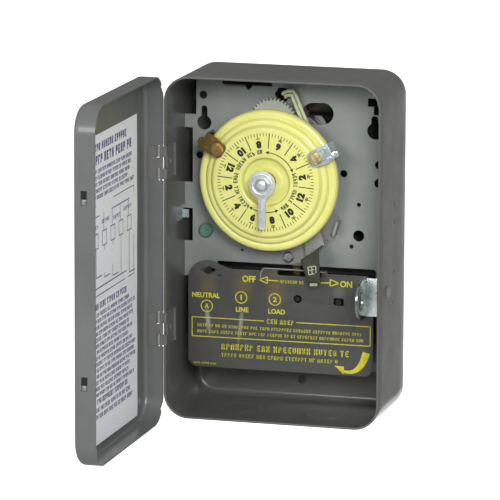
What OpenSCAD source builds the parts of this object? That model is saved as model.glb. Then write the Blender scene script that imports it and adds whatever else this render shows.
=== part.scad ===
// 24-hour mechanical time switch in a surface-mounted sheet steel enclosure.
// Frame: origin at the centre of the back face, on the wall plane.
// +X to the right seen from the front, -Y towards the user, +Z up. Millimetres.

/* [Enclosure] */
// Outside width of the box
box_w = 124; // [122:0.5:126]
// Outside height of the box
box_h = 194; // [192:0.5:200]
// Depth of the box, wall to front rim
box_d = 63.2; // [63:0.1:66]
// Sheet thickness of box and door
sheet = 1.2; // [1:0.1:1.4]
// Corner radius seen from the front
corner_r = 14; // [12:0.5:16]
// Bend radius of the drawn back edge
bend_r = 5; // [4:0.5:6]
// Radius of the larger conduit knockout
knockout_r = 14.3; // [11.1:0.1:14.3]
// Radius of the two wall screw holes
wall_hole_r = 2.4; // [2:0.1:3]
// Height of the wall screw holes above and below the centre
wall_hole_z = 84.6; // [80:0.1:86]

/* [Door] */
// Gap between the door flange and the box, each side
door_gap = 0.5; // [0.4:0.05:0.8]
// Depth of the door pan
door_depth = 12.7; // [12:0.1:14]
// How far three of the flanges lap over the box
door_lap = 1; // [0.6:0.1:1.5]
// Opening angle of the door at rest
door_open = 90; // [90:1:90]

/* [Clock] */
// Dial radius
dial_r = 40.2; // [39:0.1:41]
// Dial axis, sideways from the centre
dial_x = -8; // [-8.5:0.1:-7.5]
// Dial axis, height above the centre
dial_z = 36.8; // [36:0.1:37.5]
// Gear module
gear_m = 0.7; // [0.7:0.05:0.7]
// Teeth on the dial gear
dial_teeth = 52; // [52:1:52]
// Teeth on the drive gear
drive_teeth = 38; // [38:1:38]
// Teeth on the motor pinion
pinion_teeth = 10; // [10:1:10]

/* [Hidden] */
$fn = 64;

plate_y = -26;                 // front face of the mechanism plate
plate_t = 1.2;
ins_y = -38;                   // back face of the insulator sheet
ins_t = 0.8;
gear_y = -28.5;                // back face of the gears
gear_t = 3;
drive_z = dial_z + gear_m*(dial_teeth + drive_teeth)/2;
pin_a = -3*360/drive_teeth;    // direction of the pinion from the drive gear
pin_c = gear_m*(drive_teeth + pinion_teeth)/2;
pinion_x = dial_x + pin_c*cos(pin_a);
pinion_z = drive_z + pin_c*sin(pin_a);
lever_x = 13.5;                // lever pivot
lever_z = 12;
arm_x = 34;                    // contact arm pivot
arm_z = -9;
post_r = 3.25;
hinge_x = -box_w/2 - 1.2;      // door hinge pin
hinge_y = -box_d - 0.7;
knuckle_r = 1.15;
pin_r = 0.65;
hinge_z = [48.2, -46.2];       // middle of each hinge
hinge_h = 18.6;
door_w = box_w + 2*(door_gap + 1);
door_h = box_h + 2*(door_gap + 1);
door_t = 1;
door_back = -box_d + door_lap;             // edge of the lapping flanges
door_front = door_back - door_depth;       // outside face of the door
hasp_z = -21.6;

// ---- helpers: a flat outline in X and Z, pushed forwards (towards -Y) ----
module fwd(y0, h) { translate([0, y0, 0]) rotate([90, 0, 0]) linear_extrude(h) children(); }
module rod(x, z, y0, h, r) { translate([x, y0, z]) rotate([90, 0, 0]) cylinder(h=h, r=r); }
module turned(x, z, y0) { translate([x, y0, z]) rotate([90, 0, 0]) rotate_extrude() children(); }
// outline in Y and Z with thickness along +X
module side(x0, t) { translate([x0, 0, 0]) rotate([90, 0, 90]) linear_extrude(t) children(); }
module rrect(w, h, r) {
  square([w, h - 2*r], center=true);
  square([w - 2*r, h], center=true);
  for (x=[-1, 1], z=[-1, 1]) translate([x*(w/2 - r), z*(h/2 - r)]) circle(r);
}
module slot2(w, h) { // obround, long way sideways
  square([w - h, h], center=true);
  for (x=[-1, 1]) translate([x*(w - h)/2, 0]) circle(h/2);
}
// drawn tray blank: rounded corners, rounded back edge; back face at y=0
module tray(w, h, d, r, b) {
  hull() for (x=[-1, 1], z=[-1, 1]) translate([x*(w/2 - r), 0, z*(h/2 - r)])
    rotate([90, 0, 0]) rotate_extrude($fn=48)
      polygon(concat([[0, 0]], [for (a=[0:15:90]) [r - b + b*sin(a), b - b*cos(a)]], [[r, d], [0, d]]));
}
// straight-sided gear outline
function gear_pts(m, n, ph) = let(rp=m*n/2, ra=rp + 0.85*m, rd=rp - 1.1*m, q=90/n)
  [for (k=[0:n-1], s=[[-1.15, rd], [-0.85, rp], [-0.45, ra], [0.45, ra], [0.85, rp], [1.15, rd]])
    let(a=ph + k*360/n + s[0]*q) [s[1]*cos(a), s[1]*sin(a)]];

// ---- enclosure ----
module enclosure_box() color([0.36, 0.36, 0.36]) difference() {
  tray(box_w, box_h, box_d, corner_r, bend_r);
  translate([0, -sheet, 0]) tray(box_w - 2*sheet, box_h - 2*sheet, box_d, corner_r - sheet, bend_r - sheet);
  for (s=[-1, 1]) rod(2, s*wall_hole_z, 1, 4, wall_hole_r);
  for (x=[-25, 26]) translate([x, -34, -box_h/2 - 1]) cylinder(h=4, r=knockout_r);
  rod(0, -50, 1, 4, knockout_r);
  translate([box_w/2 - 3, -box_d + 20, hasp_z]) rotate([0, 90, 0]) cylinder(h=6, r=2);
}
module slug() { // two concentric knockouts in one wall
  difference() { cylinder(h=sheet, r=knockout_r - 0.15); translate([0, 0, -1]) cylinder(h=4, r=11.3); }
  cylinder(h=sheet, r=11.1);
}
module knockout_slugs() color([0.34, 0.34, 0.34]) {
  for (x=[-25, 26]) translate([x, -34, -box_h/2]) slug();
  translate([0, 0, -50]) rotate([90, 0, 0]) slug();
}
module knuckle(z0, h) translate([hinge_x, hinge_y, z0]) difference() {
  cylinder(h=h, r=knuckle_r, $fn=32);
  translate([0, 0, -1]) cylinder(h=h + 2, r=pin_r + 0.05, $fn=32);
}
module box_leaf(zc) {
  z0 = zc - hinge_h/2; inner = -box_w/2 + sheet;
  for (z=[z0, z0 + 2*hinge_h/3 + 0.15]) {
    knuckle(z, hinge_h/3 - 0.15);
    // strap from the knuckle over the rim
    difference() {
      translate([hinge_x, -box_d - 0.85, z]) cube([inner + 0.8 - hinge_x, 0.8, hinge_h/3 - 0.15]);
      translate([hinge_x, hinge_y, z - 1]) cylinder(h=hinge_h, r=knuckle_r - 0.1, $fn=32);
    }
    translate([inner + 0.03, -box_d - 0.5, z]) cube([0.77, 3, hinge_h/3 - 0.15]);
  }
  // leaf on the inner face of the wall, with a raised far edge and a dimple
  translate([inner + 0.03, -box_d + 1.4, z0]) cube([0.77, 13.6, hinge_h]);
  translate([inner + 0.03, -box_d + 13.9, z0]) cube([1.7, 1.1, hinge_h]);
  translate([inner + 0.7, -box_d + 7, zc]) rotate([0, 90, 0]) cylinder(h=0.7, r1=1.7, r2=1.1);
}
module box_hinge_leaves() color([0.62, 0.63, 0.66]) for (z=hinge_z) box_leaf(z);
module hinge_pins() color([0.7, 0.7, 0.72]) for (z=hinge_z)
  translate([hinge_x, hinge_y, z - hinge_h/2 - 0.6]) {
    cylinder(h=hinge_h + 1.2, r=pin_r, $fn=32);
    translate([0, 0, hinge_h + 0.7]) cylinder(h=0.5, r=1, $fn=32);
  }

module latch_hasp() color([0.78, 0.78, 0.8]) {
  inner = box_w/2 - sheet - 0.03;
  // base on the wall
  difference() {
    translate([inner - 1.4, -box_d + 1.2, hasp_z - 9.4]) cube([1.4, 26, 18.8]);
    translate([inner - 3, -box_d + 20, hasp_z]) rotate([0, 90, 0]) cylinder(h=5, r=2);
  }
  // web across the front
  translate([54.2, -box_d + 1.2, hasp_z - 10.8]) cube([inner - 54.2, 1.4, 21.6]);
  // loop for a padlock: D outline with a large hole, leaning slightly
  translate([53, 0, hasp_z]) side(0, 1.6) difference() {
    union() {
      translate([-box_d - 8, -11.2]) square([10.6, 22.4]);
      translate([-box_d - 8, 0]) circle(11.2);
    }
    translate([-box_d - 11, 0]) circle(5.4);
    translate([-box_d - 11, -2]) square([9, 4]);
  }
}
module hasp_rivets() color([0.7, 0.7, 0.72])
  translate([box_w/2 - sheet - 1.9, -box_d + 20, hasp_z]) rotate([0, 90, 0]) {
    cylinder(h=sheet + 2.6, r=1.95);
    translate([0, 0, -0.9]) cylinder(h=1.3, r1=2.4, r2=3.6);
    translate([0, 0, sheet + 2]) cylinder(h=0.9, r1=3.4, r2=2.6);
  }
module plate_clip() color([0.7, 0.7, 0.72]) {
  inner = -box_w/2 + sheet + 0.03;
  translate([inner, -40, 11]) cube([0.8, 12.8, 8]);
  translate([inner, -28.4, 11]) cube([3.2, 0.9, 4.6]);
  translate([inner, -40.8, 14]) cube([3, 0.9, 5]);
}

// ---- mechanism plate ----
module plate_outline() difference() {
  union() {
    translate([-54, 15]) square([110.4, 77]);
    translate([-56, -72]) square([112.4, 139]);
    translate([-60.7, 62.4]) square([8, 7.6]);
    translate([-60.7, 16.2]) square([8, 15]);
    translate([-60.7, -22.7]) square([8, 20.2]);
  }
  // cut-out for the terminal block
  translate([-41.5, -66]) square([90.5, 52.8]);
  translate([48, -66]) square([3.2, 50.8]);
  translate([49.2, -15.2]) circle(2);
  // top slot with a pointed notch
  translate([-39, 87.8]) square([29, 3]);
  polygon([[-26, 88], [-21, 88], [-23.4, 84.9]]);
  // scalloped hole for the leads
  for (a=[0:60:300]) translate([-3.9 + 2.1*cos(a), 83.5 + 2.1*sin(a)]) circle(2.2);
  translate([-3.9, 83.5]) circle(2.6);
  // long window over the coil, with a stepped corner
  translate([13.6, 73.4]) circle(6.1);
  translate([19.6, 73.8]) circle(6.1);
  translate([13.6, 67.5]) square([6, 12.2]);
  // keyholes
  translate([-49.3, 65.5]) circle(4.1);
  translate([-51.1, 65.5]) square([3.6, 8]);
  translate([-49.3, 73.4]) circle(1.8);
  translate([49.8, 65.3]) circle(4.7);
  translate([47.4, 65.3]) square([4, 6.6]);
  translate([49.4, 71.8]) circle(2);
  translate([45.4, 79]) square([5.4, 4.6]);
  translate([48.8, 74.3]) square([4, 5]);
  // plain holes: x, z, radius
  for (h=[[-50, 81.3, 2.3], [-52, 46.8, 2], [52, 46.3, 2.3], [52, 35.9, 2.6], [31.8, 40.4, 2.1],
          [40.7, 23.2, 1.2], [40.7, 5.5, 3.2], [36.6, -0.8, 1.25], [-26.9, -6.2, 0.8]])
    translate([h[0], h[1]]) circle(h[2]);
  // clearance for the motor shaft, lever shaft and the posts
  translate([pinion_x, pinion_z]) circle(4.6);
  translate([lever_x, lever_z]) circle(3.2);
}
module mechanism_plate() color([0.5, 0.53, 0.55]) {
  fwd(plate_y + plate_t, plate_t) plate_outline();
  // pressed lip under the top slot
  fwd(plate_y, 0.9) translate([-36.6, 85.2]) square([12, 1.9]);
}
module plate_standoffs() color([0.6, 0.6, 0.62])
  for (p=[[-34, 76], [34, 88], [-48.6, -50], [53.8, -50]]) rod(p[0], p[1], -sheet, -plate_y - plate_t - sheet, 2.3);

module screw_head(r, t, w) difference() { // slotted pan head, axis +Z
  union() { cylinder(h=0.6*t, r=r); translate([0, 0, 0.6*t]) cylinder(h=0.4*t, r1=r, r2=0.78*r); }
  translate([-r - 1, -w/2, 0.55*t]) cube([2*r + 2, w, t]);
}
module ground_screw() color([0.1, 0.36, 0.28]) translate([-47.9, plate_y, 4.2]) rotate([90, 0, 0]) {
  rotate([0, 0, 38]) screw_head(4.2, 2.4, 1);
}
module trip_bracket() color([0.62, 0.63, 0.62]) {
  fwd(plate_y, 1.1) difference() {
    union() {
      polygon([[-6, -4.5], [3, -12.2], [9, -11.6], [26.5, 3], [30, 14], [27, 20], [8, 20], [4, 6]]);
      translate([1, -8.2]) circle(4.4);
    }
    translate([lever_x, lever_z]) circle(2.4);
    translate([22.6, 1.6]) circle(0.9);
    translate([25.6, 5.6]) circle(0.9);
  }
  // raised ear that stands beside the lever
  fwd(plate_y - 1, 7) polygon([[27.2, 6.6], [28.6, 6.2], [31, 14], [29.6, 14.4]]);
}
module bracket_screw() color([0.5, 0.5, 0.42]) translate([0.6, plate_y - 1.1, -8.4]) rotate([90, 0, 0])
  rotate([0, 0, 10]) screw_head(3, 1.8, 0.8);
module lever_pivot_pin() color([0.7, 0.7, 0.7]) {
  rod(lever_x, lever_z, -17, 18.2, 1.5);
  rod(lever_x, lever_z, -35, 0.3, 2.2);
  rod(lever_x, lever_z, -sheet, 16, 2.6);
}

// ---- motor ----
module motor_can() color([0.72, 0.72, 0.7]) turned(pinion_x, pinion_z, -7)
  polygon([[0, 0], [11, 0], [11.5, 0.5], [11.5, 15.6], [10.9, 16.4], [3, 16.4], [3, 17.4], [2.05, 17.4], [2.05, 14], [0, 14]]);
module motor_coil() color([0.35, 0.18, 0.08]) translate([9, -14, 77.6]) rotate([0, 90, 0]) difference() {
  union() {
    cylinder(h=1.2, r=5.8);
    translate([0, 0, 1.2]) cylinder(h=13.6, r=5.4);
    translate([0, 0, 14.8]) cylinder(h=1.2, r=5.8);
  }
  translate([-2.6, -2.6, -1]) cube([5.2, 5.2, 20]);
}
module motor_core() color([0.45, 0.45, 0.46]) fwd(-11.6, 4.8) difference() {
  union() {
    translate([3, 75.2]) square([28, 4.8]);
    translate([26, 48]) square([5, 32]);
    translate([3, 71.6]) square([4.6, 8]);
    translate([-8, 48]) square([39, 5]);
    translate([-8, 48]) square([5, 18]);
    translate([pinion_x, pinion_z]) circle(14);
  }
  translate([pinion_x, pinion_z]) circle(11.6);
  translate([8.8, 70.9]) square([16.4, 4.2]);
}
// two leads side by side, from the scalloped hole down behind the dial
lead_path = [[-3.4, -20, 83.8], [-3.2, -27, 84], [-1.4, -29, 85.6], [2.8, -29.4, 86.2], [4.8, -29.6, 84.2],
  [6.2, -29.6, 81], [7.6, -29.6, 77.4], [9.2, -29.4, 73.6], [10.8, -29.2, 69.8], [12.6, -28.9, 66], [15.2, -28.8, 62.6], [18.6, -28.8, 60.2]];
lead_sides = 8;
function unit(v) = v/norm(v);
function lead_dir(i) = unit(lead_path[min(i + 1, len(lead_path) - 1)] - lead_path[max(i - 1, 0)]);
function lead_ring(i, dx, r) = let(t=lead_dir(i), u=unit(cross(t, [0, 1, 0.001])), w=cross(t, u))
  [for (k=[0:lead_sides-1]) lead_path[i] + dx*unit([t[2], 0, -t[0]]) + r*cos(k*360/lead_sides)*u + r*sin(k*360/lead_sides)*w];
module lead(dx, r) {
  n = len(lead_path);
  polyhedron(points=[for (i=[0:n-1]) each lead_ring(i, dx, r)],
    faces=concat([[for (k=[0:lead_sides-1]) k]],
      [for (i=[0:n-2], k=[0:lead_sides-1]) let(a=i*lead_sides + k, b=i*lead_sides + (k + 1)%lead_sides) [a, a + lead_sides, b + lead_sides, b]],
      [[for (k=[lead_sides-1:-1:0]) (n - 1)*lead_sides + k]]));
}
module motor_leads() color([0.82, 0.84, 0.7]) { lead(0, 1.0); lead(2.3, 1.0); }
module gear_stud() color([0.7, 0.7, 0.72]) {
  rod(dial_x, drive_z, plate_y, 6.6, 1.6);
  rod(dial_x, drive_z, plate_y, 2.2, 3.2);
  rod(dial_x, drive_z, plate_y - 6.2, 0.7, 2.6);
}
module drive_gear() color([0.72, 0.73, 0.72]) {
  fwd(gear_y, gear_t) translate([dial_x, drive_z]) difference() {
    polygon(gear_pts(gear_m, drive_teeth, 0));
    circle(1.65);
  }
}
module motor_pinion() color([0.75, 0.68, 0.45]) {
  fwd(gear_y + 0.6, gear_t + 1.2) translate([pinion_x, pinion_z])
    polygon(gear_pts(gear_m, pinion_teeth, 180 + pin_a - 180/pinion_teeth));
  rod(pinion_x, pinion_z, -21.4, 6.6, 1.5);
}

// ---- dial and its post ----
module dial_post() color([0.72, 0.72, 0.74]) {
  rod(dial_x, dial_z, plate_y, 24.4, post_r);
  rod(dial_x, dial_z, plate_y - 24, 6, 2);
  rod(dial_x, dial_z, plate_y, 1.6, 6);
}
module pull_spring() color([0.75, 0.75, 0.77]) translate([dial_x, 0, dial_z]) rotate([90, 0, 0])
  for (k=[0:4]) translate([0, 0, 46.9 + k*1.1]) rotate_extrude() translate([4.1, 0]) circle(0.42, $fn=24);
module time_pointer() color([0.8, 0.8, 0.82]) fwd(-52.3, 1.2) translate([dial_x, dial_z]) difference() {
  union() {
    circle(7.6);
    polygon([[2.5, -6], [-2.5, -6], [-2, -25], [-1.4, -25.6], [1.4, -25.6], [2, -25]]);
  }
  circle(2.05);
}
module pointer_nut() color([0.72, 0.72, 0.74]) turned(dial_x, dial_z, -53.5)
  polygon([[2.05, 0], [3.6, 0], [3.6, 1.6], [3.1, 2.5], [2, 3], [0, 3.1], [0, 2.55], [2.05, 2.55]]);
module dial_gear() color([0.7, 0.7, 0.66]) {
  fwd(gear_y, gear_t) translate([dial_x, dial_z]) difference() {
    polygon(gear_pts(gear_m, dial_teeth, 0));
    circle(post_r + 0.05);
  }
  fwd(gear_y - gear_t, 1.8) translate([dial_x, dial_z]) difference() { circle(8); circle(post_r + 0.05); }
}
module dial_sleeve() color([0.75, 0.66, 0.4]) turned(dial_x, dial_z, -33.6)
  polygon([[post_r + 0.05, 0], [8.4, 0], [8.4, 1.6], [5, 1.6], [5, 9.6], [post_r + 0.05, 9.6]]);
module dial() color([0.9, 0.88, 0.4]) turned(dial_x, dial_z, 0) polygon([
  [5.05, 35.4], [6.8, 35.4], [6.8, 40.6], [13.9, 41.2], [14.4, 44.4], [29.4, 44.4], [31.4, 42.2], [33.6, 41.9],
  [34.8, 39.6], [37.2, 40], [38.7, 39.2], [39, 37.6], [dial_r, 37.6], [dial_r, 38.8], [dial_r - 0.25, 39.9],
  [dial_r - 0.9, 40.8], [dial_r - 1.9, 41.4], [37.1, 41.5], [36.2, 41.2], [35.7, 41], [35.3, 42.3], [34.5, 43.2],
  [33.4, 43.6], [32.3, 43.6], [31.5, 44.7], [30.7, 45.7], [29.9, 46], [14.6, 46], [13.8, 45.7], [13.4, 45],
  [13, 42.8], [8.6, 42.2], [8.2, 42.9], [5.05, 42.9]]);

module tripper(a, lug) translate([dial_x, 0, dial_z]) rotate([0, a, 0]) {
  // front leaf, web round the rim, back leaf, striker
  difference() {
    fwd(-46.4, 1.2) polygon([[-4, 28.6], [4, 28.6], [5.2, 36], [4.6, 42.6], [-4.6, 42.6], [-5.2, 36]]);
    rod(0, 32.6, -44, 6, 1.3);
  }
  fwd(-35.4, 12.2) polygon([[-4.6, 41.4], [4.6, 41.4], [4.6, 42.6], [-4.6, 42.6]]);
  fwd(-35.4, 1.2) polygon([[-3.4, 35], [3.4, 35], [4.6, 42.6], [-4.6, 42.6]]);
  fwd(-41.4, 3.4) polygon([[lug*1, 42.4], [lug*4.4, 42.4], [lug*4.4, 45], [lug*1, 45.2]]);
}
module thumb_screw(a) translate([dial_x, 0, dial_z]) rotate([0, a, 0]) translate([0, -46.5, 32.6]) rotate([90, 0, 0]) {
  cylinder(h=1.6, r=1.2);
  translate([0, 0, 1.1]) screw_head(3.2, 2.8, 0.9);
}
module on_tripper() color([0.8, 0.8, 0.82]) tripper(62.5, 1);
module on_tripper_screw() color([0.75, 0.74, 0.7]) thumb_screw(62.5);
module off_tripper() color([0.72, 0.45, 0.25]) tripper(-57.5, -1);
module off_tripper_screw() color([0.7, 0.6, 0.3]) thumb_screw(-57.5);

// ---- lever and switch ----
module manual_lever() color([0.3, 0.3, 0.27]) {
  // hub and arm behind the dial
  difference() {
    union() {
      rod(lever_x, lever_z, -27.6, 7.2, 3.6);
      fwd(-32.2, 1.2) polygon([[lever_x - 4, lever_z + 1], [lever_x + 4, lever_z + 1], [22.6, 0.4], [12, -7.2]]);
    }
    rod(lever_x, lever_z, -20, 20, 1.55);
  }
  // fold forwards, then the handle hanging in front of the insulator
  fwd(-32.2, 12.4) polygon([[22.2, -0.2], [21.6, 0.6], [12, -6.4], [12.5, -7.3]]);
  fwd(-43.4, 1.2) polygon([[22.2, 0.2], [12.1, -7], [16.6, -19.6], [18, -20.8], [22.4, -20.8], [23.6, -18.8]]);
  fwd(-44.4, 1.6) polygon([[17.4, -18.9], [22.9, -18.7], [22.4, -20.9], [18, -20.9]]);
}
module switch_cam() color([0.85, 0.83, 0.75]) difference() {
  fwd(-20.6, 3) union() {
    translate([lever_x, lever_z]) circle(5.4);
    polygon([[lever_x + 2.4, lever_z - 4], [lever_x - 2.4, lever_z - 4], [lever_x - 1.2, -5.6], [lever_x + 1.2, -5.6]]);
  }
  rod(lever_x, lever_z, -10, 20, 1.55);
}
module contact_arm() color([0.78, 0.52, 0.3]) difference() {
  fwd(-21, 2.2) union() {
    translate([arm_x, arm_z]) circle(3);
    translate([1.4, arm_z - 0.9]) square([arm_x - 2, 1.8]);
    translate([lever_x - 2, arm_z]) square([4, 3.1]);
    translate([1.4, arm_z]) square([4, 1.8]);
  }
  rod(arm_x, arm_z, -15, 12, 1.35);
}
module contact_pivot_pin() color([0.7, 0.7, 0.7]) rod(arm_x, arm_z, -sheet, 23, 1.3);
module fixed_contact() color([0.78, 0.6, 0.35]) {
  fwd(-21.2, 1.8) translate([1.6, arm_z + 2]) square([3.6, 1.6]);
  fwd(-8, 15) translate([-1.6, arm_z + 3.5]) square([7, 1.1]);
  fwd(-8, 1.2) translate([-1.6, -20.3]) square([4, 15.5]);
}

// ---- terminals ----
module terminal_block() color([0.08, 0.08, 0.08]) difference() {
  union() {
    fwd(-8, 23) translate([-38, -60]) square([84, 39.6]);
    fwd(-31, 3.4) for (x=[-33.4, -14.6, 5.6]) translate([x, -56]) square([2, 33]);
  }
  // pockets for the terminals, open at the bottom for the wires
  for (x=[-30.6, -11.8]) translate([x, -32, -61]) cube([15.4, 6, 38]);
  translate([10, -32, -54]) cube([32, 5, 18]);
}
module terminal_lugs() color([0.78, 0.6, 0.3]) {
  for (x=[-23.8, -4.2]) fwd(-26, 1.4) translate([x - 4.4, -46]) square([8.8, 22]);
  fwd(plate_y, 1.4) translate([-48.2, -44]) square([8.6, 20]);
}
module terminal_screws() color([0.8, 0.68, 0.35])
  for (p=[[-23.8, -31, -27.4], [-4.2, -31, -27.4], [-43.9, -30, plate_y - 1.4]])
    translate([p[0], p[2], p[1]]) rotate([90, 0, 0]) rotate([0, 0, 25]) screw_head(3.7, 3, 1);
module insulator_posts() color([0.1, 0.1, 0.1]) {
  rod(9, -29.9, -31, 8.4, 1.3);
  rod(32.7, -30.3, -31, 8.4, 1.7);
  rod(-43.1, -16.4, plate_y, 13.6, 1.9);
}
module insulator_shield() color([0.25, 0.25, 0.26, 0.8]) fwd(ins_y, ins_t) difference() {
  union() {
    translate([-54.8, -68.6]) square([107.6, 51.6]);
    translate([-51.4, -72]) square([100.8, 6]);
    translate([-51.4, -68.6]) circle(3.4);
    translate([49.4, -68.6]) circle(3.4);
    translate([-44, -17.5]) square([94, 2.8]);
    translate([50, -17.5]) circle(2.8);
    translate([-43.4, -21.9]) circle(11.4);
    polygon([[-31, -24], [-31, -15], [-38.2, -11.7], [-43, -16], [-54.6, -21], [-54.8, -24]]);
    translate([-12, -17]) square([38, 4]);
  }
  translate([-43.1, -16.4]) slot2(8.4, 2.8);
  translate([-43.1, -16.4]) circle(2.4);
  translate([9, -29.9]) circle(2.3);
  translate([29.8, -32.3]) square([5.8, 4.2]);
  translate([-3, -16.9]) square([26, 2.9]);
  translate([-36.5, -19]) circle(0.7);
}

// ---- door, drawn closed, then swung open about the hinge pin ----
module swing() translate([hinge_x, hinge_y, 0]) rotate([0, 0, -door_open]) translate([-hinge_x, -hinge_y, 0]) children();
module door_blank(w, h, r, b, y0, y1) translate([0, y0, 0]) mirror([0, 1, 0])
  tray(w, h, y1, r, b);
module door_panel() color([0.4, 0.4, 0.4]) swing() difference() {
  translate([0, door_front, 0]) mirror([0, 1, 0]) tray(door_w, door_h, door_depth, corner_r + door_gap + 1, 3.4);
  translate([0, door_front + door_t, 0]) mirror([0, 1, 0]) tray(door_w - 2*door_t, door_h - 2*door_t, door_depth + 1, corner_r + door_gap, 2.4);
  // hinge side cut back clear of the rim
  translate([-door_w/2 - 1, hinge_y + 1.25, -door_h]) cube([corner_r + 4, 5, 2*door_h]);
  translate([hinge_x + 0.25, hinge_y + 1.25, -door_h]) rotate([0, 0, -24]) cube([3.2, 3, 2*door_h]);
  // notches for the knuckles, deeper where the door's own strap passes
  for (z=hinge_z) {
    translate([-door_w/2 - 1, hinge_y - 1.4, z - hinge_h/2 - 0.7]) cube([3, 8, hinge_h + 1.4]);
    translate([-door_w/2 - 1, -box_d - 3.4, z - hinge_h/6 - 0.1]) cube([3, 8, hinge_h/3 + 0.2]);
  }
  // opening for the padlock loop
  translate([50.4, door_front - 1, hasp_z - 13]) cube([6.4, 4, 26]);
}
module wiring_label() color([0.85, 0.86, 0.92]) swing()
  translate([-49, door_front + door_t + 0.02, -93.4]) cube([97, 0.2, 171]);
module door_leaf(zc) {
  z0 = zc - hinge_h/6 + 0.15; h = hinge_h/3 - 0.3; in = -door_w/2 + door_t;
  knuckle(z0, h);
  difference() {
    translate([hinge_x + knuckle_r - 0.8, -box_d - 3.4, z0]) cube([0.8, 2.7, h]);
    translate([hinge_x, hinge_y, z0 - 1]) cylinder(h=h + 2, r=knuckle_r - 0.1, $fn=32);
  }
  translate([in + 0.03, -box_d - 8.3, zc - hinge_h/2]) cube([0.8, 5.1, hinge_h]);
  translate([hinge_x + knuckle_r - 0.8, -box_d - 3.4, z0]) cube([0.85, 0.9, h]);
}
module door_hinge_leaves() color([0.62, 0.63, 0.66]) swing() for (z=hinge_z) door_leaf(z);

enclosure_box();
knockout_slugs();
box_hinge_leaves();
hinge_pins();
latch_hasp();
hasp_rivets();
plate_clip();
mechanism_plate();
plate_standoffs();
ground_screw();
trip_bracket();
bracket_screw();
lever_pivot_pin();
motor_can();
motor_coil();
motor_core();
motor_leads();
gear_stud();
dial_post();
pull_spring();
time_pointer();
pointer_nut();
terminal_block();
terminal_lugs();
terminal_screws();
fixed_contact();
contact_pivot_pin();
insulator_posts();
door_panel();
wiring_label();
door_hinge_leaves();
insulator_shield();
dial_gear();
dial_sleeve();
dial();
on_tripper();
on_tripper_screw();
off_tripper();
off_tripper_screw();
drive_gear();
motor_pinion();
manual_lever();
switch_cam();
contact_arm();
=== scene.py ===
# Looks for the wall-mounted 24-hour time switch. Millimetres in the helpers, metres in Blender.
import math
import random

import bmesh
import bpy
from mathutils import Matrix, Vector


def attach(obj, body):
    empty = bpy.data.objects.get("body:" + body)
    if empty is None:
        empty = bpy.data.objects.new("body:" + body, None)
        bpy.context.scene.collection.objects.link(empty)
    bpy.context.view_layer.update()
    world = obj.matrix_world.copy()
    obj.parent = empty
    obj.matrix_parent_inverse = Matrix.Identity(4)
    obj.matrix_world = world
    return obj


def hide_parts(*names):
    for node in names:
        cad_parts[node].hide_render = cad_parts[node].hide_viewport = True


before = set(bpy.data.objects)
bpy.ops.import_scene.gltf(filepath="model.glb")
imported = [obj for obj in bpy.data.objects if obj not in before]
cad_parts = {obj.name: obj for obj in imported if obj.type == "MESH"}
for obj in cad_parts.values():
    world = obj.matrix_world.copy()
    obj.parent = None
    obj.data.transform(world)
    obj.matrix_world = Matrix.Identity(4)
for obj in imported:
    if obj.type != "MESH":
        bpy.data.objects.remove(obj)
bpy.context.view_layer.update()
MM = 0.001
scene = bpy.context.scene
scene.view_settings.view_transform = "Standard"
scene.view_settings.look = "None"

# ------------------------------------------------------------------ camera
YAW, PITCH, ROLL = math.radians(15.60), math.radians(11.07), math.radians(0.23)
DIST, F_PX = 2493.0, 4446.0
target = Vector((-19.0, -38.0, -3.6))
back = Vector((math.sin(YAW) * math.cos(PITCH), -math.cos(YAW) * math.cos(PITCH), math.sin(PITCH)))
right0 = Vector((math.cos(YAW), math.sin(YAW), 0))
up0 = back.cross(right0)
right = right0 * math.cos(ROLL) + up0 * math.sin(ROLL)
up = up0 * math.cos(ROLL) - right0 * math.sin(ROLL)
cam_data = bpy.data.cameras.new("camera")
cam_data.sensor_fit = "HORIZONTAL"
cam_data.sensor_width = 36.0
cam_data.lens = F_PX / 500 * 36.0
cam_data.clip_start, cam_data.clip_end = 0.1, 60.0
cam = bpy.data.objects.new("camera", cam_data)
loc = (target + back * DIST) * MM
cam.matrix_world = Matrix(((right.x, up.x, back.x, loc.x), (right.y, up.y, back.y, loc.y), (right.z, up.z, back.z, loc.z), (0, 0, 0, 1)))
scene.collection.objects.link(cam)
scene.camera = cam


# ------------------------------------------------------------------ dimensions shared with the CAD model
W, H, D, T, R, B = 124.0, 194.0, 63.2, 1.2, 14.0, 5.0
DX, DZ = -8.0, 36.8
HX, HY = -W / 2 - 1.2, -D - 0.7
DW, DH, DT, DDEPTH, DLAP = W + 3.0, H + 3.0, 1.0, 12.7, 1.0
DFRONT = -D + DLAP - DDEPTH
HINGES, HINGE_H = (48.2, -46.2), 18.6
HASP_Z = -21.6
INS_Y = -38.8


# ------------------------------------------------------------------ materials
def srgb(*c):
    return tuple((v / 255 / 12.92) if v / 255 <= 0.04045 else ((v / 255 + 0.055) / 1.055) ** 2.4 for v in c) + (1.0,)


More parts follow.
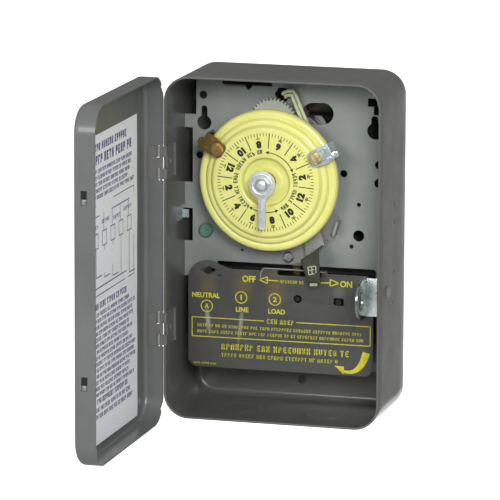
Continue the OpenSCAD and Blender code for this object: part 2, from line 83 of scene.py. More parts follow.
class Mat:
    """A procedural material built up from a Principled shader."""

    def __init__(self, name, rough=0.5, metal=0.0, **sockets):
        self.m = bpy.data.materials.new(name)
        self.m.use_nodes = True
        self.t = self.m.node_tree
        self.p = self.t.nodes["Principled BSDF"]
        self.p.inputs["Roughness"].default_value = rough
        self.p.inputs["Metallic"].default_value = metal
        for k, v in sockets.items():
            self.p.inputs[k.replace("_", " ")].default_value = v
        self.coord = self.t.nodes.new("ShaderNodeTexCoord")
        self.height = None

    def node(self, kind, **kw):
        n = self.t.nodes.new(kind)
        for k, v in kw.items():
            setattr(n, k, v)
        return n

    def noise(self, scale, detail=4, rough=0.55, stretch=None, distortion=0.0):
        src = self.coord.outputs["Object"]
        if stretch:
            mp = self.node("ShaderNodeMapping")
            mp.inputs["Scale"].default_value = stretch
            self.t.links.new(src, mp.inputs["Vector"])
            src = mp.outputs["Vector"]
        n = self.node("ShaderNodeTexNoise")
        n.inputs["Scale"].default_value = scale
        n.inputs["Detail"].default_value = detail
        n.inputs["Roughness"].default_value = rough
        n.inputs["Distortion"].default_value = distortion
        self.t.links.new(src, n.inputs["Vector"])
        return n.outputs["Fac"]

    def ramp(self, fac, stops):
        r = self.node("ShaderNodeValToRGB")
        e = r.color_ramp.elements
        while len(e) < len(stops):
            e.new(0.5)
        for el, (pos, col) in zip(e, stops):
            el.position = pos
            el.color = col if len(col) == 4 else tuple(col) + (1,)
        self.t.links.new(fac, r.inputs["Fac"])
        return r.outputs["Color"]

    def colour(self, fac, stops):
        self.t.links.new(self.ramp(fac, stops), self.p.inputs["Base Color"])
        return self

    def roughness(self, fac, lo, hi, a=0.3, b=0.7):
        r = self.node("ShaderNodeMapRange")
        r.inputs["From Min"].default_value = a
        r.inputs["From Max"].default_value = b
        r.inputs["To Min"].default_value = lo
        r.inputs["To Max"].default_value = hi
        self.t.links.new(fac, r.inputs["Value"])
        self.t.links.new(r.outputs["Result"], self.p.inputs["Roughness"])
        return self

    def bump(self, fac, strength, distance=0.0002):
        b = self.node("ShaderNodeBump")
        b.inputs["Strength"].default_value = strength
        b.inputs["Distance"].default_value = distance
        self.t.links.new(fac, b.inputs["Height"])
        if self.height is not None:
            self.t.links.new(self.height, b.inputs["Normal"])
        self.height = b.outputs["Normal"]
        self.t.links.new(self.height, self.p.inputs["Normal"])
        return self


def g(v, k=1.0, tint=(1, 1, 1)):
    """Grey paint shades, very slightly warm."""
    return srgb(v * k * tint[0], v * k * 1.008 * tint[1], v * k * 0.965 * tint[2])


def enamel(name, v, tint=(1, 1, 1)):
    m = Mat(name, 0.4)
    m.p.inputs["Coat Weight"].default_value = 0.5
    m.p.inputs["Coat Roughness"].default_value = 0.15
    m.colour(m.noise(14, 6, 0.6), [(0.32, g(v, 0.94, tint)), (0.5, g(v, 1, tint)), (0.72, g(v, 1.06, tint))])
    m.roughness(m.noise(60, 4), 0.34, 0.48)
    m.bump(m.noise(800, 2), 0.12, 0.00008).bump(m.noise(38, 2), 0.14, 0.0004)
    m.t.links.new(m.height, m.p.inputs["Coat Normal"])
    return m.m


def metal(name, v, rough, spread=0.06, tint=(1, 1, 1), streak=None, scale=90, metallic=1.0, bump=0.06):
    m = Mat(name, rough, metallic)
    c = lambda k: srgb(v * k * tint[0], v * k * tint[1], v * k * tint[2])
    n = m.noise(scale, 5, 0.6, stretch=streak)
    m.colour(n, [(0.3, c(1 - spread)), (0.55, c(1)), (0.75, c(min(1 + spread, 255 / v)))])
    m.roughness(m.noise(scale * 2.3, 3, stretch=streak), rough * 0.82, min(rough * 1.2, 1))
    m.bump(n, bump, 0.0001)
    return m.m


def plastic(name, rgb, rough, spread=0.05, scale=120, bump=0.1, coat=0.0):
    m = Mat(name, rough)
    m.p.inputs["Coat Weight"].default_value = coat
    m.p.inputs["Coat Roughness"].default_value = 0.15
    c = lambda k: srgb(*[min(255, x * k) for x in rgb])
    n = m.noise(scale, 4)
    m.colour(n, [(0.3, c(1 - spread)), (0.7, c(1 + spread))])
    m.roughness(m.noise(scale * 1.7, 3), rough * 0.88, rough * 1.15)
    m.bump(n, bump, 0.00008)
    return m.m


M = {}
M["box"] = enamel("box_enamel", 93)
M["door"] = enamel("door_enamel", 103, (0.985, 0.995, 1.03))
M["plate"] = metal("plate_zinc", 152, 0.55, 0.05, (0.965, 1.0, 0.98), scale=40, metallic=0.22, bump=0.04)
M["zinc"] = metal("bright_zinc", 236, 0.3, 0.06, (0.96, 1.0, 1.0), scale=160, bump=0.02)
# darker copy of the bright zinc for the hasp loop: painted shade, its face sees only the dark inside of the box
M["zinc2"] = metal("loop_zinc_shaded", 165, 0.22, 0.1, (0.94, 1.0, 0.97), scale=120, bump=0.02)
# near-black for the insulator posts and the lance windows: painted shade, the dark inside of the hole round the posts
# and of the lances
M["post"] = plastic("post_black", (13, 13, 11), 0.7, 0.1, 200, 0.1)
M["leaf"] = enamel("hinge_enamel", 104)
M["rivet"] = metal("rivet_zinc", 185, 0.4, 0.12, (0.97, 0.99, 1.0), scale=140)
# light grey on the clear ridge: painted highlight, the light line along the raised edge of the insulator
M["ridge"] = plastic("clear_edge_highlight", (150, 156, 148), 0.25, 0.06, 120, 0.05, 0.5)
M["wear"] = plastic("worn_cream", (196, 196, 172), 0.45, 0.1, 300, 0.2)
M["pin"] = metal("steel_pin", 190, 0.3, 0.08, scale=200, streak=(1, 8, 1))
M["green"] = plastic("green_zinc", (84, 128, 104), 0.34, 0.16, 300, 0.15, 0.3)
M["bracket"] = metal("bracket_steel", 158, 0.5, 0.07, (1, 1, 0.97), scale=80, metallic=0.5)
M["dark"] = metal("lever_oxide", 72, 0.4, 0.16, (1, 1.02, 0.84), scale=120, metallic=0.5)
M["can"] = metal("motor_aluminium", 200, 0.4, 0.05, scale=90)
M["coil"] = plastic("coil_varnish", (44, 36, 30), 0.35, 0.2, 220, 0.4, 0.3)
M["core"] = metal("lamination", 120, 0.5, 0.1, streak=(1, 30, 1), scale=30)
M["lead"] = plastic("lead_sleeve", (205, 210, 172), 0.6, 0.06, 300, 0.25)
M["nylon"] = plastic("gear_nylon", (176, 180, 168), 0.5, 0.05, 160, 0.15)
M["brass"] = metal("brass", 190, 0.32, 0.12, (1.0, 0.86, 0.54), scale=140)
M["dull"] = metal("dull_brass", 205, 0.4, 0.12, (1.0, 0.94, 0.74), scale=160)
M["copper"] = metal("copper", 186, 0.36, 0.16, (1.0, 0.72, 0.44), scale=150)
M["bronze"] = metal("off_bronze", 132, 0.36, 0.16, (1.0, 0.84, 0.46), scale=150)
M["pointer"] = metal("pointer_nickel", 232, 0.42, 0.10, (0.98, 1.0, 1.0), scale=300, metallic=0.8, bump=0.5)
M["phenolic"] = plastic("black_phenolic", (26, 26, 22), 0.45, 0.15, 200, 0.2)
M["cam"] = plastic("cam_nylon", (222, 216, 196), 0.5)
M["paper"] = plastic("label_paper", (246, 248, 255), 0.6, 0.02, 500, 0.15)
M["ink_blue"] = plastic("label_ink", (74, 78, 132), 0.6, 0.08, 500, 0.0)
M["ink_black"] = plastic("dial_ink", (34, 32, 20), 0.5, 0.15, 500, 0.0)
M["ink_yellow"] = plastic("shield_ink", (198, 194, 44), 0.5, 0.08, 500, 0.0)


def yellow():
    m = Mat("dial_yellow", 0.36)
    m.p.inputs["Coat Weight"].default_value = 0.35
    m.p.inputs["Coat Roughness"].default_value = 0.22
    m.colour(m.noise(45, 5), [(0.3, srgb(228, 228, 132)), (0.55, srgb(234, 233, 140)), (0.75, srgb(240, 239, 150))])
    m.roughness(m.noise(120, 3), 0.3, 0.42)
    m.bump(m.noise(700, 2), 0.06, 0.00006)
    return m.m


def film():
    m = Mat("smoke_film", 0.34)
    m.p.inputs["Coat Weight"].default_value = 0.2
    m.p.inputs["Coat Roughness"].default_value = 0.2
    m.p.inputs["Alpha"].default_value = 0.8
    base = m.ramp(m.noise(22, 5), [(0.3, g(76)), (0.7, g(85))])
    # the terminals behind show through as soft patches; the pale streaks are painted highlights, light reflected off
    # the terminal clamps behind the sheet
    for x, z, rx, rz, tilt, col, k in ((-43.6, -25.5, 7, 11, 0, (128, 112, 62), 0.5), (-22.5, -24, 8, 12, 0, (132, 112, 62), 0.55), (-3.6, -25, 8, 13, 0, (132, 112, 62), 0.55),
                                       (-43.2, -45, 1.9, 10, -6, (200, 204, 186), 0.75), (-24.2, -47, 1.7, 12, 7, (190, 194, 172), 0.7), (33, -24.5, 4.5, 7, 0, (150, 146, 136), 0.35)):
        mp = m.node("ShaderNodeMapping", vector_type="TEXTURE")
        mp.inputs["Location"].default_value = (x * MM, -38.4 * MM, z * MM)
        mp.inputs["Rotation"].default_value = (0, math.radians(tilt), 0)
        mp.inputs["Scale"].default_value = (rx * MM, 1, rz * MM)
        gr = m.node("ShaderNodeTexGradient", gradient_type="SPHERICAL")
        m.t.links.new(m.coord.outputs["Object"], mp.inputs["Vector"])
        m.t.links.new(mp.outputs["Vector"], gr.inputs["Vector"])
        mr = m.node("ShaderNodeMapRange")
        mr.inputs["To Max"].default_value = k
        m.t.links.new(gr.outputs["Fac"], mr.inputs["Value"])
        mx = m.node("ShaderNodeMix", data_type="RGBA")
        m.t.links.new(mr.outputs["Result"], mx.inputs[0])
        m.t.links.new(base, mx.inputs[6])
        mx.inputs[7].default_value = srgb(*col)
        base = mx.outputs[2]
    m.t.links.new(base, m.p.inputs["Base Color"])
    m.roughness(m.noise(70, 3), 0.28, 0.4)
    m.bump(m.noise(26, 2), 0.1, 0.0003)
    return m.m


M["yellow"], M["film"] = yellow(), film()


# ------------------------------------------------------------------ mesh helpers
def finish_mesh(name, bm, mat, body, angle=35, replaces=()):
    bmesh.ops.remove_doubles(bm, verts=bm.verts, dist=1e-7)
    bmesh.ops.recalc_face_normals(bm, faces=bm.faces)
    me = bpy.data.meshes.new(name)
    bm.to_mesh(me)
    bm.free()
    return add_mesh(name, me, mat, body, angle, replaces)


def smooth_by_angle(me, angle):
    me.polygons.foreach_set("use_smooth", [True] * len(me.polygons))
    bm = bmesh.new()
    bm.from_mesh(me)
    lim = math.radians(angle)
    for e in bm.edges:
        e.smooth = len(e.link_faces) == 2 and e.calc_face_angle(0) < lim
    bm.to_mesh(me)
    bm.free()


def add_mesh(name, me, mat, body, angle=35, replaces=()):
    smooth_by_angle(me, angle)
    me.materials.clear()
    me.materials.append(mat)
    o = bpy.data.objects.new(name, me)
    scene.collection.objects.link(o)
    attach(o, body)
    if replaces:
        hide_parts(*replaces)
    return o


def rr(w, h, r, n=10):
    """Rounded rectangle, counter-clockwise from the lower right corner."""
    r = max(r, 0.01)
    out = []
    for cx, cz, a0 in ((w / 2 - r, -h / 2 + r, -90), (w / 2 - r, h / 2 - r, 0), (-w / 2 + r, h / 2 - r, 90), (-w / 2 + r, -h / 2 + r, 180)):
        for i in range(n + 1):
            a = math.radians(a0 + 90 * i / n)
            out.append((cx + r * math.cos(a), cz + r * math.sin(a)))
    return out


def tray_bm(w, h, d, r, b, t, y0=0.0, s=-1.0, n=14, lip=0.35):
    """Drawn tray: closed back at y0, open towards s. Returns a bmesh in metres."""
    prof = []
    for i in range(9):
        a = math.radians(90 * i / 8)
        prof.append((b * (1 - math.sin(a)), b * (1 - math.cos(a))))
    for k in range(1, 6):
        prof.append((0.0, b + (d - lip - b) * k / 6))
    for i in range(5):
        a = math.radians(90 * i / 4)
        prof.append((lip * (1 - math.cos(a)), d - lip + lip * math.sin(a)))
    for i in range(5):
        a = math.radians(90 * i / 4)
        prof.append((t - lip + lip * math.sin(a), d - lip + lip * math.cos(a)))
    bi = b - t
    for k in range(1, 6):
        prof.append((t, d - lip - (d - lip - b) * k / 6))
    for i in range(9):
        a = math.radians(90 * i / 8)
        prof.append((t + bi * (1 - math.cos(a)), t + bi * (1 - math.sin(a))))
    bm = bmesh.new()
    rings = []
    for ins, y in prof:
        rings.append([bm.verts.new((x * MM, (y0 + s * y) * MM, z * MM)) for x, z in rr(w - 2 * ins, h - 2 * ins, r - ins, n)])
    m = len(rings[0])
    for a, c in zip(rings, rings[1:]):
        for i in range(m):
            bm.faces.new((a[i], a[(i + 1) % m], c[(i + 1) % m], c[i]))
    bm.faces.new(rings[0])
    bm.faces.new(list(reversed(rings[-1])))
    bmesh.ops.recalc_face_normals(bm, faces=bm.faces)
    return bm


def cyl_bm(p0, p1, r, n=64):
    p0, p1 = Vector(p0) * MM, Vector(p1) * MM
    d = p1 - p0
    bm = bmesh.new()
    mat = Matrix.Translation((p0 + p1) / 2) @ d.to_track_quat("Z", "Y").to_matrix().to_4x4()
    bmesh.ops.create_cone(bm, cap_ends=True, segments=n, radius1=r * MM, radius2=r * MM, depth=d.length, matrix=mat)
    return bm


def box_bm(x0, x1, y0, y1, z0, z1):
    bm = bmesh.new()
    bmesh.ops.create_cube(bm, size=1, matrix=Matrix.Translation(((x0 + x1) / 2 * MM, (y0 + y1) / 2 * MM, (z0 + z1) / 2 * MM)) @ Matrix.Diagonal(((x1 - x0) * MM, (y1 - y0) * MM, (z1 - z0) * MM, 1)))
    return bm


def tmp_obj(bm, name="tmp"):
    bmesh.ops.recalc_face_normals(bm, faces=bm.faces)
    me = bpy.data.meshes.new(name)
    bm.to_mesh(me)
    bm.free()
    o = bpy.data.objects.new(name, me)
    scene.collection.objects.link(o)
    return o


def evaluated(o):
    bpy.context.view_layer.update()
    dg = bpy.context.evaluated_depsgraph_get()
    me = bpy.data.meshes.new_from_object(o.evaluated_get(dg))
    return me


def drop(*objs):
    for o in objs:
        data = o.data
        bpy.data.objects.remove(o)
        if isinstance(data, bpy.types.Mesh):
            bpy.data.meshes.remove(data)
        elif isinstance(data, bpy.types.Curve):
            bpy.data.curves.remove(data)


def cut(bm, cutters):
    """Boolean difference of a bmesh with a list of bmeshes; returns a mesh."""
    o = tmp_obj(bm)
    cs = [tmp_obj(c, "cut") for c in cutters]
    for c in cs:
        md = o.modifiers.new("cut", "BOOLEAN")
        md.operation, md.solver, md.object = "DIFFERENCE", "EXACT", c
    me = evaluated(o)
    drop(o, *cs)
    return me


def bevelled(bm, width, segments=2, angle=35):
    o = tmp_obj(bm)
    md = o.modifiers.new("b", "BEVEL")
    md.width, md.segments, md.limit_method, md.angle_limit = width * MM, segments, "ANGLE", math.radians(angle)
    md.harden_normals = False
    me = evaluated(o)
    drop(o)
    return me


def join(meshes):
    bm = bmesh.new()
    for me in meshes:
        if isinstance(me, bpy.types.Mesh):
            bm.from_mesh(me)
            bpy.data.meshes.remove(me)
        else:
            tmp = bpy.data.meshes.new("j")
            me.to_mesh(tmp)
            me.free()
            bm.from_mesh(tmp)
            bpy.data.meshes.remove(tmp)
    out = bpy.data.meshes.new("joined")
    bm.to_mesh(out)
    bm.free()
    return out


def plate(outer, holes, y_back, t, bev=0.12, res=2):
    """A bevelled flat plate in the XZ plane from outlines in millimetres; y_back is its rear face."""
    cu = bpy.data.curves.new("plate", "CURVE")
    cu.dimensions, cu.fill_mode = "2D", "BOTH"
    cu.extrude, cu.bevel_depth, cu.bevel_resolution, cu.offset = (t / 2 - bev) * MM, bev * MM, res, -bev * MM
    for pts in [outer] + list(holes):
        sp = cu.splines.new("POLY")
        sp.points.add(len(pts) - 1)
        for p, (x, z) in zip(sp.points, pts):
            p.co = (x * MM, z * MM, 0, 1)
        sp.use_cyclic_u = True
    o = bpy.data.objects.new("plate", cu)
    scene.collection.objects.link(o)
    me = evaluated(o)
    drop(o)
    me.transform(Matrix.Translation((0, (y_back - t / 2) * MM, 0)) @ Matrix.Rotation(math.pi / 2, 4, "X"))
    bm = bmesh.new()
    bm.from_mesh(me)
    bmesh.ops.remove_doubles(bm, verts=bm.verts, dist=1e-7)
    bmesh.ops.recalc_face_normals(bm, faces=bm.faces)
    bm.to_mesh(me)
    bm.free()
    return me


def circ(x, z, r, n=48, a0=0.0):
    return [(x + r * math.cos(a0 + 2 * math.pi * i / n), z + r * math.sin(a0 + 2 * math.pi * i / n)) for i in range(n)]


def fillet(pts, radii, n=6):
    """Round the corners of a closed outline."""
    if not isinstance(radii, (list, tuple)):
        radii = [radii] * len(pts)
    out = []
    for i, p in enumerate(pts):
        a, b, c = Vector(pts[i - 1]), Vector(p), Vector(pts[(i + 1) % len(pts)])
        r = radii[i]
        u, v = (a - b), (c - b)
        lu, lv = u.length, v.length
        if r <= 0 or lu < 1e-6 or lv < 1e-6:
            out.append(tuple(b))
            continue
        u, v = u / lu, v / lv
        ang = u.angle(v)
        if ang > math.pi - 0.02:
            out.append(tuple(b))
            continue
        d = min(r / math.tan(ang / 2), lu * 0.49, lv * 0.49)
        rad = d * math.tan(ang / 2)
        cen = b + (u + v).normalized() * (rad / math.sin(ang / 2))
        s, e = b + u * d - cen, b + v * d - cen
        a0 = math.atan2(s.y, s.x)
        da = (math.atan2(e.y, e.x) - a0 + math.pi) % (2 * math.pi) - math.pi
        for k in range(n + 1):
            t = a0 + da * k / n
            out.append((cen.x + rad * math.cos(t), cen.y + rad * math.sin(t)))
    return out


def lathe(profile, x, z, n=160):
    """Turn (radius, forward) points about an axis along -Y at x, z."""
    bm = bmesh.new()
    rings = []
    for k in range(n):
        a = 2 * math.pi * k / n
        rings.append([bm.verts.new(((x + r * math.cos(a)) * MM, -f * MM, (z + r * math.sin(a)) * MM)) for r, f in profile])
    for k in range(n):
        a, b = rings[k], rings[(k + 1) % n]
        m = len(profile)
        for i in range(m):
            j = (i + 1) % m
            if profile[i][0] < 1e-6 and profile[j][0] < 1e-6:
                continue
            vs = []
            for v in (a[i], b[i], b[j], a[j]):
                vs.append(v)
            bm.faces.new(vs)
    bmesh.ops.remove_doubles(bm, verts=bm.verts, dist=1e-7)
    bmesh.ops.dissolve_degenerate(bm, edges=bm.edges, dist=1e-8)
    bmesh.ops.recalc_face_normals(bm, faces=bm.faces)
    return bm


def chaikin(pts, it=2, keep=0.25):
    """Round a closed profile by cutting corners."""
    for _ in range(it):
        out = []
        for i, p in enumerate(pts):
            q = pts[(i + 1) % len(pts)]
            out.append((p[0] + (q[0] - p[0]) * keep, p[1] + (q[1] - p[1]) * keep))
            out.append((q[0] + (p[0] - q[0]) * keep, q[1] + (p[1] - q[1]) * keep))
        pts = out
        keep = 0.25
    return pts


def tube(path, r, n=16):
    """Round tube with capped ends along a smoothed path."""
    P = [Vector(p) for p in path]
    pts = []
    for i in range(len(P) - 1):
        p0, p1, p2, p3 = P[max(i - 1, 0)], P[i], P[i + 1], P[min(i + 2, len(P) - 1)]
        for k in range(6):
            t = k / 6
            pts.append(0.5 * ((2 * p1) + (p2 - p0) * t + (2 * p0 - 5 * p1 + 4 * p2 - p3) * t * t + (3 * p1 - p0 - 3 * p2 + p3) * t ** 3))
    pts.append(P[-1])
    bm = bmesh.new()
    rings = []
    ref = Vector((0.2, 0.9, 0.1)).normalized()
    for i, p in enumerate(pts):
        t = (pts[min(i + 1, len(pts) - 1)] - pts[max(i - 1, 0)]).normalized()
        u = t.cross(ref).normalized()
        w = t.cross(u)
        ref = (-t.cross(u)).normalized() if w.dot(ref) < 0 else w.normalized()
        rings.append([bm.verts.new((p + r * math.cos(2 * math.pi * k / n) * u + r * math.sin(2 * math.pi * k / n) * w) * MM) for k in range(n)])
    for a, b in zip(rings, rings[1:]):
        for k in range(n):
            bm.faces.new((a[k], a[(k + 1) % n], b[(k + 1) % n], b[k]))
    bm.faces.new(rings[0])
    bm.faces.new(list(reversed(rings[-1])))
    bmesh.ops.recalc_face_normals(bm, faces=bm.faces)
    return bm


def quads(polys, y, t, fn=None):
    """Thin raised print: each polygon is a list of (x, z); y is the surface, print stands t proud towards -Y."""
    bm = bmesh.new()
    for pts in polys:
        n = len(pts)
        a = [bm.verts.new((x * MM, (y - t) * MM, z * MM)) for x, z in pts]
        b = [bm.verts.new((x * MM, (y + 0.02) * MM, z * MM)) for x, z in pts]
        bm.faces.new(a)
        bm.faces.new(list(reversed(b)))
        for i in range(n):
            bm.faces.new((a[i], b[i], b[(i + 1) % n], a[(i + 1) % n]))
    bmesh.ops.recalc_face_normals(bm, faces=bm.faces)
    if fn:
        for v in bm.verts:
            v.co = fn(v.co)
    return bm


def text_polys(body, size, x, z, angle=0.0, bold=0.0, sx=1.0):
    """Mesh of a short generic word or number, centred at x, z; returns a bmesh lying in XZ at y=0 (metres)."""
    cu = bpy.data.curves.new("t", "FONT")
    cu.body, cu.size, cu.align_x, cu.align_y = body, 1.0, "CENTER", "CENTER"
    cu.offset = bold
    cu.resolution_u = 4
    cu.extrude = 0.02
    o = bpy.data.objects.new("t", cu)
    scene.collection.objects.link(o)
    me = evaluated(o)
    drop(o)
    xs = [v.co.x for v in me.vertices]
    ys = [v.co.y for v in me.vertices]
    cx, cy, hh = (min(xs) + max(xs)) / 2, (min(ys) + max(ys)) / 2, (max(ys) - min(ys))
    k = size / hh
    mt = Matrix.Translation((x * MM, 0, z * MM)) @ Matrix.Rotation(angle, 4, "Y") @ Matrix.Diagonal((k * MM * sx, 1, k * MM, 1)) @ Matrix.Rotation(math.pi / 2, 4, "X") @ Matrix.Diagonal((1, 1, 0.0012, 1)) @ Matrix.Translation((-cx, -cy, 0))
    me.transform(mt)
    return me


def glyph(rng, x, z, w, h, s):
    """Strokes of a letter-like mark that isn't a letter of any word."""
    k, m = rng.random(), z + (h - s) * 0.5
    if k < 0.1:
        return [(x + w / 2 - s / 2, z, x + w / 2 + s / 2, z + h), (x, z + h - s, x + w, z + h)]
    out = [(x, z, x + s, z + h)]
    if k < 0.45:
        out.append((x + w - s, z, x + w, z + h))
    elif k < 0.65:
        out.append((x + w - s, m, x + w, z + h))
    if k >= 0.45 or rng.random() < 0.5:
        out.append((x, z + h - s, x + w, z + h))
    if rng.random() < 0.6 or 0.45 <= k < 0.65:
        out.append((x, m, x + w * (1 if k < 0.65 else 0.8), m + s))
    if k >= 0.7 or (k < 0.3 and rng.random() < 0.5):
        out.append((x, z, x + w, z + s))
    return out


def pseudo_text(rng, x0, x1, z, h, pitch=None, s=None):
    """A row of letter-like marks between x0 and x1, base line z."""
    pitch = pitch or h * 0.86
    s = s or h * 0.2
    out, x, word = [], x0, rng.randint(3, 7)
    while x + pitch * 0.8 <= x1:
        if word == 0:
            word = rng.randint(2, 8)
            x += pitch * 0.55
            continue
        out += glyph(rng, x, z, pitch * 0.72, h, s)
        x += pitch
        word -= 1
    return out


def rects(rs):
    return [[(a, b), (c, b), (c, d), (a, d)] for a, b, c, d in rs]


def swing(me, inverse=False):
    """Closed-door coordinates to the open rest pose."""
    p = Vector((HX, HY, 0)) * MM
    m = Matrix.Translation(p) @ Matrix.Rotation(-math.pi / 2, 4, "Z") @ Matrix.Translation(-p)
    me.transform(m)
    return me


# ------------------------------------------------------------------ enclosure
rng = random.Random(7)
holes = [cyl_bm((2, 3, s * 84.6), (2, -3, s * 84.6), 2.4, 40) for s in (-1, 1)]
holes += [cyl_bm((x, -34, -H / 2 - 3), (x, -34, -H / 2 + 3), 14.3, 96) for x in (-25, 26)]
holes += [cyl_bm((0, 3, -50), (0, -3, -50), 14.3, 96)]
holes += [cyl_bm((W / 2 - 3, -D + 20, HASP_Z), (W / 2 + 3, -D + 20, HASP_Z), 2.0, 32)]
me = cut(tray_bm(W, H, D, R, B, T), holes)
add_mesh("enclosure_shell", me, M["box"], "enclosure", 32, ["enclosure_box"])

# ------------------------------------------------------------------ door pan
bm = tray_bm(DW, DH, DDEPTH, R + 1.5, 3.4, DT, DFRONT, 1.0, 14, 0.3)
cutters = [box_bm(-DW / 2 - 1, -DW / 2 + 17, HY + 1.34, HY + 5, -DH, DH)]
wedge = box_bm(0, 3.2, 0, 3, -DH, DH)
wedge.transform(Matrix.Translation(((HX + 0.25) * MM, (HY + 1.34) * MM, 0)) @ Matrix.Rotation(math.radians(-24), 4, "Z"))
cutters.append(wedge)
for z in HINGES:
    cutters.append(box_bm(-DW / 2 - 1, -DW / 2 + 2, HY - 1.4, HY + 5, z - HINGE_H / 2 - 0.7, z + HINGE_H / 2 + 0.7))
    cutters.append(box_bm(-DW / 2 - 1, -DW / 2 + 2, -D - 3.4, -D + 5, z - HINGE_H / 6 - 0.1, z + HINGE_H / 6 + 0.1))
cutters.append(box_bm(50.4, 56.8, DFRONT - 1, DFRONT + 3, HASP_Z - 13, HASP_Z + 13))
for z in (50, -51):
    cutters.append(box_bm(DW / 2 - 0.6, DW / 2 + 1, -70.4, -66.8, z - 4, z + 4))
me = swing(cut(bm, cutters))
add_mesh("door_pan", me, M["door"], "door", 32, ["door_panel"])

# black plates at the back of each lance window are painted shadow for the dark top of the lance; the tabs get bright
# zinc as a painted highlight for its white lower edge
tabs = [bevelled(box_bm(DW / 2 - 0.65, DW / 2 - 0.05, -69.7, -67.5, z - 3.5, z - 0.9), 0.25, 3) for z in (50, -51)]
lance_shadows = [box_bm(DW / 2 - 0.65, DW / 2 - 0.5, -70.2, -67.0, z - 0.6, z + 3.8) for z in (50, -51)]
add_mesh("door_lance_painted_shadows", swing(join(lance_shadows)), M["post"], "door", 40)
add_mesh("door_lances", swing(join(tabs)), M["rivet"], "door", 40)

# label: sheet with slightly lifted, uneven surface
LX0, LX1, LZ0, LZ1 = -49.0, 48.0, -93.4, 77.6
bm = bmesh.new()
NX, NZ = 36, 60


def label_y(x, z):
    e = 0.10 * math.sin(x * 0.11 + 1) * math.sin(z * 0.07) + 0.08 * math.sin(z * 0.17 + x * 0.05)
    return DFRONT + DT + 0.14 + 0.1 + e * 0.8


grid = [[bm.verts.new((x * MM, label_y(x, z) * MM, z * MM)) for x in [LX0 + (LX1 - LX0) * i / NX for i in range(NX + 1)]] for z in [LZ0 + (LZ1 - LZ0) * k / NZ for k in range(NZ + 1)]]
for k in range(NZ):
    for i in range(NX):
        bm.faces.new((grid[k][i], grid[k + 1][i], grid[k + 1][i + 1], grid[k][i + 1]))
geo = bmesh.ops.extrude_face_region(bm, geom=list(bm.faces))
for v in [e for e in geo["geom"] if isinstance(e, bmesh.types.BMVert)]:
    v.co.y += 0.1 * MM
bmesh.ops.recalc_face_normals(bm, faces=bm.faces)
me = bpy.data.meshes.new("label")
bm.to_mesh(me)
bm.free()
add_mesh("label_sheet", swing(me), M["paper"], "door", 40, ["wiring_label"])

# label print: rows of letter-like marks, a frame, a plain wiring drawing. Text reads from the hinge side out.
polys = []


def bar(u0, z0, u1, z1):
    """Print on the label in reading coordinates: u runs from the free edge to the hinge."""
    polys.append([(-u0, z0), (-u1, z0), (-u1, z1), (-u0, z1)])


LU0, LU1 = -LX1, -LX0


def lab_rows(z_top, rows, h, gap, x0, x1, heavy=0.26):
    z = z_top
    for _ in range(rows):
        end = x1 - rng.random() * 14
        for a, b, c, d in pseudo_text(rng, x0, end, z - h, h, None, h * heavy):
            bar(a, b, c, d)
        z -= h + gap
    return z


z = LZ1 - 5
z = lab_rows(z, 1, 4.2, 2.2, LU0 + 16, LU1 - 14)
z = lab_rows(z, 1, 5.2, 2.6, LU0 + 8, LU1 - 6)
z = lab_rows(z, 5, 2.2, 1.3, LU0 + 4, LU1 - 3)
# drawing area: frames, terminals and lines
za = z - 2
for x0, z0, x1, z1 in ((LU0 + 6, za - 50, LU1 - 6, za),):
    for r in ((x0, z1 - 0.5, x1, z1), (x0, z0, x1, z0 + 0.5), (x0, z0, x0 + 0.5, z1), (x1 - 0.5, z0, x1, z1)):
        bar(*r)
for k in range(5):
    x = LU0 + 18 + k * 15
    for r in ((x, za - 24, x + 8, za - 23.4), (x, za - 16, x + 8, za - 15.4), (x, za - 24, x + 0.6, za - 15.4), (x + 7.4, za - 24, x + 8, za - 15.4)):
        bar(*r)
    bar(x + 3.7, za - 40 - 2 * k, x + 4.3, za - 24)
    bar(x + 3.7, za - 40 - 2 * k, x + 14, za - 39.4 - 2 * k)
    bar(x + 2.4, za - 15.4, x + 3, za - 6)
bar(LU0 + 14, za - 6.5, LU1 - 14, za - 5.9)
bar(LU0 + 14, za - 46, LU1 - 20, za - 45.4)
for k in range(4):
    for gl in pseudo_text(rng, LU0 + 12 + 20 * k, LU0 + 26 + 20 * k, za - 13 + (k % 2) * 1.5, 2.2):
        bar(*gl)
z = za - 54
z = lab_rows(z, 1, 3.4, 2.0, LU0 + 12, LU1 - 12)
z = lab_rows(z, 14, 2.1, 1.3, LU0 + 4, LU1 - 3)
z = lab_rows(z, 1, 3.0, 1.8, LU0 + 14, LU1 - 16)
z = lab_rows(z, 2, 2.4, 1.6, LU0 + 8, LU1 - 8)
polys = [[(x, max(LZ0 + 1, zz)) for x, zz in p] for p in polys if min(q[1] for q in p) > LZ0 + 1.5]
bm = bmesh.new()
for pts in polys:
    a = [bm.verts.new((x * MM, (label_y(x, zz) + 0.13) * MM, zz * MM)) for x, zz in pts]
    b = [bm.verts.new((x * MM, (label_y(x, zz) + 0.02) * MM, zz * MM)) for x, zz in pts]
    bm.faces.new(a)
    bm.faces.new(list(reversed(b)))
    for i in range(4):
        bm.faces.new((a[i], b[i], b[(i + 1) % 4], a[(i + 1) % 4]))
bmesh.ops.recalc_face_normals(bm, faces=bm.faces)
me = bpy.data.meshes.new("label_print")
bm.to_mesh(me)
bm.free()
add_mesh("label_print", swing(me), M["ink_blue"], "door", 40)

